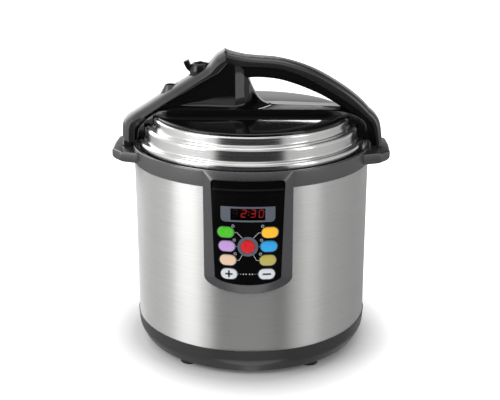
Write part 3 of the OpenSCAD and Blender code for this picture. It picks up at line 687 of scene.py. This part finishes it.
RING_TOP = 255.0
RING_OUT = 146.2
ring_outline = rounded([
    (RING_OUT, 236), (RING_OUT, RING_TOP, 1.4), (142.6, RING_TOP, 0.7), (142.6, 246), (143.4, 246),
    (143.4, 241), (145, 239), (145, 236)
], 5)
EAR_TOP, EAR_LOW, EAR_REACH = 250.0, 237.0, 170.8
EAR_ROOT_RADIUS = 145.6
ear_plan = rounded([
    (132, 51), (157.4, 45.6, 3.5), (169.6, 30, 4.5), (EAR_REACH, 0), (169.6, -30, 4.5), (157.4, -45.6, 3.5)
] + [(132, y) for y in (-51, -40, -30, -20, -10, 0, 10, 20, 30, 40)])
ear_levels = [(EAR_LOW, 3.4), (EAR_LOW + 1.2, 2.2), (EAR_LOW + 3.6, 0.3), (EAR_LOW + 5, 0),
              (EAR_TOP - 2.2, 0), (EAR_TOP - 0.8, 0.4), (EAR_TOP - 0.2, 1.2), (EAR_TOP, 2.4)]


def clear_of_lid(v):
    """Keeps the root of a side handle inside the ring's wall."""
    radius = math.hypot(v.x, v.y)
    if radius < EAR_ROOT_RADIUS:
        return Vector((v.x * EAR_ROOT_RADIUS / radius, v.y * EAR_ROOT_RADIUS / radius, v.z))
    return v


ear = placed(slab(ear_plan, ear_levels), clear_of_lid)
mirrored_ear = ([(-x, y, z) for x, y, z in ear[0]], [tuple(reversed(f)) for f in ear[1]])
make_piece("top_ring_and_ears", *joined(lathe(ring_outline), ear, mirrored_ear),
           LOOKS["ring_plastic"], "root", "body_plastic", ["top_ring"])


# ---------- control panel ----------

BEZEL_RADIUS = 150.5
FACE_RADIUS = 150.1
TOP_STEPS, CORNER_STEPS, SIDE_STEPS, BOTTOM_STEPS = 24, 4, 8, 28


def on_cylinder(x, z, radius):
    """The point at X and Z on the front of an upright cylinder round the object's axis."""
    return (x, -math.sqrt(radius * radius - x * x), z)


def panel_loop(half_top, half_low, z_top, z_side, z_low, corner):
    """Panel outline as points that match between loops: top, right side, bowed bottom, left side."""
    top = [(between(-half_top + corner, half_top - corner, i / TOP_STEPS), z_top)
           for i in range(TOP_STEPS + 1)]
    right = corner_arc((0, z_top), (half_top, z_top), (half_low, z_side), corner, CORNER_STEPS)
    side = [between(right[-1], Vector((half_low, z_side)), i / SIDE_STEPS) for i in range(1, SIDE_STEPS + 1)]
    bottom = [(half_low * math.cos(a), z_side - (z_side - z_low) * math.sin(a))
              for a in (math.pi * i / BOTTOM_STEPS for i in range(1, BOTTOM_STEPS))]
    left = [(-x, z) for x, z in reversed(right + side)]
    return [Vector(p) for p in [*top, *right[1:], *side, *bottom, *left[:-1]]]


# The bezel's outline on the body, and the opening that shows the fascia.
outer_loop = panel_loop(51, 51, 255.6, 128.6, 109.9, 1.5)
inner_loop = panel_loop(41.9, 38, 246.3, 131.5, 122, 4)
# From the outer loop (share 0) to the inner loop (share 1) of the bezel: share and distance from the axis.
bezel_rows = [
    (0.0, 146.25), (0.0, 146.7), (0.015, 147.0), (0.05, 147.25), (0.9, BEZEL_RADIUS - 0.2),
    (0.94, BEZEL_RADIUS - 0.03), (0.97, BEZEL_RADIUS), (0.99, BEZEL_RADIUS - 0.15), (1.0, BEZEL_RADIUS - 0.5),
    (1.0, 147.3)
]
bezel = loft([[on_cylinder(*between(outer, inner, share), radius)
               for outer, inner in zip(outer_loop, inner_loop)] for share, radius in bezel_rows], closed=True)
make_piece("bezel_frame", *bezel, LOOKS["bezel_plastic"], "root", "bezel_plastic", ["control_bezel"])

# The gloss recess above the fascia, hollow towards its upper edge: rows of height and depth.
SCOOP_HALF_WIDTH, SCOOP_STEPS, SCOOP_WALL = 42.4, 36, 0.9
scoop_rows = [(233.2, 0.0), (234.2, 0.1), (235.4, 1.0), (237.5, 1.9), (240.5, 2.5), (243.5, 2.9),
              (246.4, 3.1)]
scoop_places = [between(-SCOOP_HALF_WIDTH, SCOOP_HALF_WIDTH, i / SCOOP_STEPS) for i in range(SCOOP_STEPS + 1)]
scoop_rings = [[on_cylinder(x, z, FACE_RADIUS - 0.2 - depth) for x in scoop_places] for z, depth in scoop_rows]
scoop = loft([ring + [(x, y + SCOOP_WALL, z) for x, y, z in reversed(ring)] for ring in scoop_rings])
make_piece("bezel_scoop", *scoop, LOOKS["fascia_black"], "root", "bezel_plastic")


def stadium(width, height, steps=10):
    """Outline of a bar with half-round ends."""
    straight = (width - height) / 2
    radius = height / 2
    points = []
    for side, start in ((1, -90), (-1, 90)):
        for i in range(steps + 1):
            a = math.radians(start + 180 * i / steps)
            points.append(Vector((side * straight + radius * math.cos(a), radius * math.sin(a))))
    return points


def on_front(angle, z, radius):
    """A function that puts a point, drawn with its face in X-Y and its outside towards +Z, on the front."""
    a = math.radians(angle)

    def place(v):
        out = radius + v.z
        return Vector((v.x * math.cos(a) + out * math.sin(a), v.x * math.sin(a) - out * math.cos(a), z + v.y))
    return place


def face_x(side, angle):
    """X of a place on the fascia, so many degrees to one side of its middle."""
    return side * FACE_RADIUS * math.sin(math.radians(angle))


KEY_FRONT = 0.8
KEY_BACK = -5.1
KEY_LEVELS = [(KEY_BACK, 0.3), (KEY_BACK + 0.3, 0), (KEY_FRONT - 1.0, 0), (KEY_FRONT - 0.45, 0.2),
              (KEY_FRONT - 0.15, 0.65), (KEY_FRONT, 1.5)]
KEY_CREASE = 50
START_Z = 169
SIGN_ROW_Z = 135.4
# Rows of keys from the top: angle from the middle of the fascia, and height.
key_rows = [(9.6, 185.7), (9.15, START_Z), (8.7, 152.2), (8.25, SIGN_ROW_Z)]
# Each key: its side, its row and its material slot.
keys = {
    "key_green": (-1, 0, "key_green"), "key_violet": (-1, 1, "key_violet"), "key_peach": (-1, 2, "key_peach"),
    "key_plus": (-1, 3, "key_white"), "key_yellow": (1, 0, "key_yellow"), "key_blue": (1, 1, "key_blue"),
    "key_olive": (1, 2, "key_olive"), "key_minus": (1, 3, "key_white")
}
for key, (side, row, slot) in keys.items():
    angle, height = key_rows[row]
    cap = placed(slab(stadium(19, 12.8), KEY_LEVELS), on_front(side * angle, height, FACE_RADIUS))
    make_piece(key + "_cap", *cap, LOOKS[slot], key, slot, [key], KEY_CREASE)


def bar(width, height, level):
    """A thin raised mark with its middle at the origin."""
    outline = rounded([(-width / 2, -height / 2, 0.3), (width / 2, -height / 2, 0.3),
                       (width / 2, height / 2, 0.3), (-width / 2, height / 2, 0.3)], 3)
    return slab(outline, [(level - 0.4, 0), (level, 0), (level + 0.06, 0.06)])


for key, bars in (("key_plus", [(8.6, 2), (2, 8.6)]), ("key_minus", [(9.6, 2)])):
    side, row, slot = keys[key]
    angle, height = key_rows[row]
    signs = joined(*(bar(w, h, KEY_FRONT + 0.02) for w, h in bars))
    make_piece(key + "_sign", *placed(signs, on_front(side * angle, height, FACE_RADIUS)),
               mark_black, key, slot)


def on_face(level):
    """A function that lifts an X-Z point with a height onto the curved face of the fascia."""
    def place(v):
        radius = FACE_RADIUS + level + v.z
        return Vector(on_cylinder(v.x, v.y, radius))
    return place


def stroke(points, width):
    """Outline of a line of constant width along a path."""
    points = [Vector(p) for p in points]
    left, right = [], []
    for i, p in enumerate(points):
        ahead = (points[min(i + 1, len(points) - 1)] - points[max(i - 1, 0)]).normalized()
        side = Vector((-ahead.y, ahead.x)) * width / 2
        left.append(p + side)
        right.append(p - side)
    return left + right[::-1]


# Printed marks start a little below the fascia's face and stand just proud of it.
MARK_LOW, MARK_TOP = -0.3, 0.05


def ring_mark(x, z, outer, inner, segments=32):
    """Verts and faces of a thin flat ring on the face."""
    rows = [(outer, MARK_LOW), (outer, MARK_TOP), (inner, MARK_TOP), (inner, MARK_LOW)]
    return loft([[(x + r * math.cos(a), z + r * math.sin(a), h) for a in full_turn(segments)] for r, h in rows],
                closed=True)


# Lines from the keys to the start ring, a small ring by each key, and dots between the two signs.
LINE_WIDTH, LINE_RUN = 0.6, 2.6
LINE_START, LINE_END = 10.2, 12.4
marks = []
for side in (-1, 1):
    for (angle, height), bend in zip(key_rows, (1, 0, -1)):
        key_edge = face_x(1, angle) - LINE_START
        if bend:
            path = [(key_edge, height), (key_edge - LINE_RUN, height), (6.4, START_Z + bend * 10.4)]
        else:
            path = [(key_edge, height), (LINE_END, START_Z)]
        outline = stroke([(side * x, z) for x, z in path], LINE_WIDTH)
        marks.append(loft([[(p.x, p.y, h) for p in outline] for h in (MARK_LOW, MARK_TOP)]))
for side in (-1, 1):
    for angle, height in ((6.4, 193.4), (5.9, 176.7), (5.5, 160.1)):
        marks.append(ring_mark(face_x(side, angle), height, 1.75, 1.3))
    for x, radius in ((2.0, 0.75), (5.2, 0.75), (8.2, 0.45), (10.6, 0.35)):
        marks.append(disc(side * x, SIGN_ROW_Z, radius, MARK_LOW, MARK_TOP, 20))
make_piece("fascia_marks", *placed(joined(*marks), on_face(0.02)), mark_grey, "root", "display_grey")

# A thin raised rim round each key: rows of width and height above the face.
RIM_WAIST = 6.2
rim_rows = [(20.3, -0.3), (20.3, 0.12), (19.9, 0.3), (19.45, 0.3), (19.3, 0.1), (19.3, -0.3)]
rims = [loft([[(p.x + face_x(side, angle), p.y + height, h) for p in stadium(w, w - RIM_WAIST)]
              for w, h in rim_rows], closed=True) for side in (-1, 1) for angle, height in key_rows]
make_piece("key_rims", *placed(joined(*rims), on_face(0)), LOOKS["display_grey"], "root", "display_grey")

START_RADIUS = 8
circle = [Vector((START_RADIUS * math.cos(a), START_RADIUS * math.sin(a))) for a in full_turn(64)]
make_piece("key_start_cap", *placed(slab(circle, KEY_LEVELS), on_front(0, START_Z, FACE_RADIUS)),
           LOOKS["key_red"], "key_start", "key_red", ["key_start"], KEY_CREASE)

DIGIT_WIDTH, DIGIT_HEIGHT, DIGIT_SLANT = 4.9, 8.6, 0.11
# Bars of a seven-segment digit: place as a share of its width and height, and whether the bar is level.
DIGIT_BARS = [(0, 0.5, True), (0.5, 0.25, False), (0.5, -0.25, False), (0, -0.5, True),
              (-0.5, -0.25, False), (-0.5, 0.25, False), (0, 0, True)]


def digit(place, lit):
    """Bars of a seven-segment digit, slightly slanted, with pointed ends."""
    bars = []
    for on, (x, y, level) in zip(lit, DIGIT_BARS):
        if not on:
            continue
        reach, thick = (2.1 if level else 1.85), 0.72
        outline = [(-reach - 0.3, 0), (-reach + 0.4, -thick), (reach - 0.4, -thick), (reach + 0.3, 0),
                   (reach - 0.4, thick), (-reach + 0.4, thick)]
        if not level:
            outline = [(-b, a) for a, b in outline]
        moved = [(a + x * DIGIT_WIDTH, b + y * DIGIT_HEIGHT) for a, b in outline]
        bars.append(slab([(place + a + b * DIGIT_SLANT, b) for a, b in moved],
                         [(0, 0), (0.3, 0), (0.36, 0.06)]))
    return joined(*bars)


on_display = on_front(0, 207.4, 146.2)
colon = [disc(0.9 + y * DIGIT_SLANT, y, 0.62, 0, 0.3, 16) for y in (-1.8, 1.8)]
lit_bars = joined(digit(-4.6, (1, 1, 0, 1, 1, 0, 1)), digit(5.8, (1, 1, 1, 1, 0, 0, 1)),
                  digit(15.2, (1, 1, 1, 1, 1, 1, 0)), *colon)
make_piece("display_lit_bars", *placed(lit_bars, on_display), LOOKS["display_red"], "root",
           "display_red", ["display_digits"])
make_piece("display_dark_bars", *placed(digit(-14.2, (1, 1, 1, 1, 1, 1, 1)), on_display),
           gloss("display_unlit", (0.014, 0.006, 0.006), 0.4, Specular_IOR_Level=0.2), "root", "display_red")


# ---------- studio ----------

# Brightness of the room by direction.
SIDE_LEVEL = 0.78
LOW_SHARE = 0.42
CEILING_LEVEL = 0.35
FRONT_LEVEL = 0.035
NEAR_FLOOR_LEVEL = 0.9
OVERHEAD_LEVEL = 0.8
BACKDROP_LEVEL = 0.75
LEFT_WALL_LEVEL = 2.6
DARK_LEVEL = 0.03

FLOOR_HALF = 9.0
# The floor's glow grows between these distances from the axis, in metres, and to the right it starts
# nearer in, where the key light would shade it.
GLOW_NEAR, GLOW_FAR = 0.15, 0.26
GLOW_LOW, GLOW_HIGH = 0.04, 1.0
RIGHT_FLOOR_STRETCH = 1.17

CAMERA_AZIMUTH, CAMERA_ELEVATION = math.radians(1.5), math.radians(18.294)
CAMERA_DISTANCE = 1282.6 * MM
CAMERA_TARGET = Vector((-0.0015, 0, 0.1751))
CAMERA_LENS, CAMERA_SENSOR = 72.69, 36


def add_area(name, place, target, size, power):
    """A rectangular softbox at a place in metres, turned to face a target."""
    light = bpy.data.lights.new(name, "AREA")
    light.shape = "RECTANGLE"
    light.size, light.size_y = size
    light.energy = power
    lamp = bpy.data.objects.new(name, light)
    bpy.context.scene.collection.objects.link(lamp)
    lamp.location = place
    lamp.rotation_euler = (Vector(target) - Vector(place)).to_track_quat("-Z", "Y").to_euler()


def add_floor():
    """Pale paper that glows towards white away from the object and keeps its contact shadow."""
    mesh = bpy.data.meshes.new("floor")
    corners = [(-1, -1), (1, -1), (1, 1), (-1, 1)]
    mesh.from_pydata([(x * FLOOR_HALF, y * FLOOR_HALF, 0) for x, y in corners], [], [(0, 1, 2, 3)])
    look = Look("floor_paper", (0.88, 0.88, 0.88), 0.35, Specular_IOR_Level=0.25)
    look.vary_color(look.noise(3), 0.995, 1.005)
    axes = look.axes()
    stretched = look.node_of("ShaderNodeMath", "MULTIPLY", axes["X"], RIGHT_FLOOR_STRETCH)
    x = look.node_of("ShaderNodeMath", "MAXIMUM", axes["X"], stretched)
    reach = look.node_of("ShaderNodeVectorMath", "LENGTH", look.vector(x, axes["Y"]))
    glow_strength = look.spread(reach, GLOW_LOW, GLOW_HIGH, GLOW_NEAR, GLOW_FAR)
    look.links.new(glow_strength, look.shader.inputs["Emission Strength"])
    look.shader.inputs["Emission Color"].default_value = (1, 1, 1, 1)
    mesh.materials.append(look.material)
    floor = bpy.data.objects.new("floor", mesh)
    bpy.context.scene.collection.objects.link(floor)
    floor.visible_glossy = False


def add_world():
    """Studio: a lit backdrop behind, a dim ceiling, bright sides and a dark zone round the photographer.

    Everything is a function of direction: z is the height, and turn is the angle round from the front.
    """
    world = bpy.data.worlds.new("studio")
    bpy.context.scene.world = world
    world.use_nodes = True
    nodes, links = world.node_tree.nodes, world.node_tree.links
    axes = nodes.new("ShaderNodeSeparateXYZ")
    links.new(nodes.new("ShaderNodeTexCoord").outputs["Generated"], axes.inputs["Vector"])

    def edge(value, low, high, start=0.0, end=1.0):
        """A soft step of the value between low and high, from start to end."""
        node = nodes.new("ShaderNodeMapRange")
        node.interpolation_type = "SMOOTHSTEP"
        node.inputs["From Min"].default_value = low
        node.inputs["From Max"].default_value = high
        node.inputs["To Min"].default_value = start
        node.inputs["To Max"].default_value = end
        links.new(value, node.inputs["Value"])
        return node.outputs["Result"]

    def combine(operation, *values):
        return linked_node(nodes, links, "ShaderNodeMath", operation, *values)

    def times(*values):
        return combine("MULTIPLY", *values)

    def mixed(a, b, share):
        """a where share is 0, b where it is 1."""
        return combine("ADD", times(a, combine("SUBTRACT", 1, share)), times(b, share))

    x, y, z = axes.outputs["X"], axes.outputs["Y"], axes.outputs["Z"]
    turn = combine("ARCTAN2", combine("ABSOLUTE", x), times(y, -1))

    # The sides darken towards the ceiling, towards the floor, towards the rear and to the right.
    sides = times(edge(z, 0.55, 0.9, SIDE_LEVEL, CEILING_LEVEL), edge(z, -0.65, 0, LOW_SHARE, 1))
    sides = times(sides, edge(turn, 1.2, 2.4, 1, 0.72))
    sides = times(sides, edge(x, -0.6, 0.6, 1.2, 0.82))
    # Behind are a low lit backdrop and, on the left, a taller and brighter wall.
    backdrop = times(edge(z, 0.12, 0.26, BACKDROP_LEVEL, DARK_LEVEL), edge(z, -0.3, 0, LOW_SHARE, 1))
    left_wall = times(edge(x, -0.32, -0.16, 1, 0), edge(z, 0.42, 0.78, LEFT_WALL_LEVEL, DARK_LEVEL))
    backdrop = combine("MAXIMUM", backdrop, times(left_wall, edge(z, -0.1, 0.05)))
    # In front it is dark between the lit floor and the lit ceiling.
    front = combine("MAXIMUM", edge(z, -0.7, -0.5, NEAR_FLOOR_LEVEL, FRONT_LEVEL),
                    edge(z, 0.42, 0.72, FRONT_LEVEL, OVERHEAD_LEVEL))
    level = mixed(sides, backdrop, edge(turn, 1.9, 2.5))
    level = mixed(level, front, edge(turn, 0.56, 0.72, 1, 0))
    # The camera sees plain white behind the object.
    seen = nodes.new("ShaderNodeLightPath").outputs["Is Camera Ray"]
    links.new(combine("MAXIMUM", level, seen), nodes["Background"].inputs["Strength"])
    nodes["Background"].inputs["Color"].default_value = (1, 1, 1, 1)


def add_camera():
    """The camera at the photographer's height and distance, slightly to the right of the middle."""
    back = Vector((math.sin(CAMERA_AZIMUTH) * math.cos(CAMERA_ELEVATION),
                   -math.cos(CAMERA_AZIMUTH) * math.cos(CAMERA_ELEVATION), math.sin(CAMERA_ELEVATION)))
    data = bpy.data.cameras.new("camera")
    data.lens = CAMERA_LENS
    data.sensor_width = CAMERA_SENSOR
    camera = bpy.data.objects.new("camera", data)
    bpy.context.scene.collection.objects.link(camera)
    camera.location = CAMERA_TARGET + back * CAMERA_DISTANCE
    camera.rotation_euler = (-back).to_track_quat("-Z", "Y").to_euler()
    bpy.context.scene.camera = camera


add_floor()
add_world()
add_camera()
add_area("softbox_left", (-1.5, -0.85, 0.9), (0, 0, 0.2), (0.9, 1.6), 13)
add_area("softbox_right", (1.5, -0.95, 0.8), (0, 0, 0.2), (0.6, 1.4), 3.5)
add_area("softbox_top", (-0.2, 0.6, 2.2), (0, 0.1, 0.1), (2.2, 1.8), 16)
add_area("strip_behind", (0.065, 2.95, 1.195), (0.03, -0.055, 0.293), (0.46, 0.072), 0.5)
bpy.context.scene.view_settings.view_transform = "Standard"
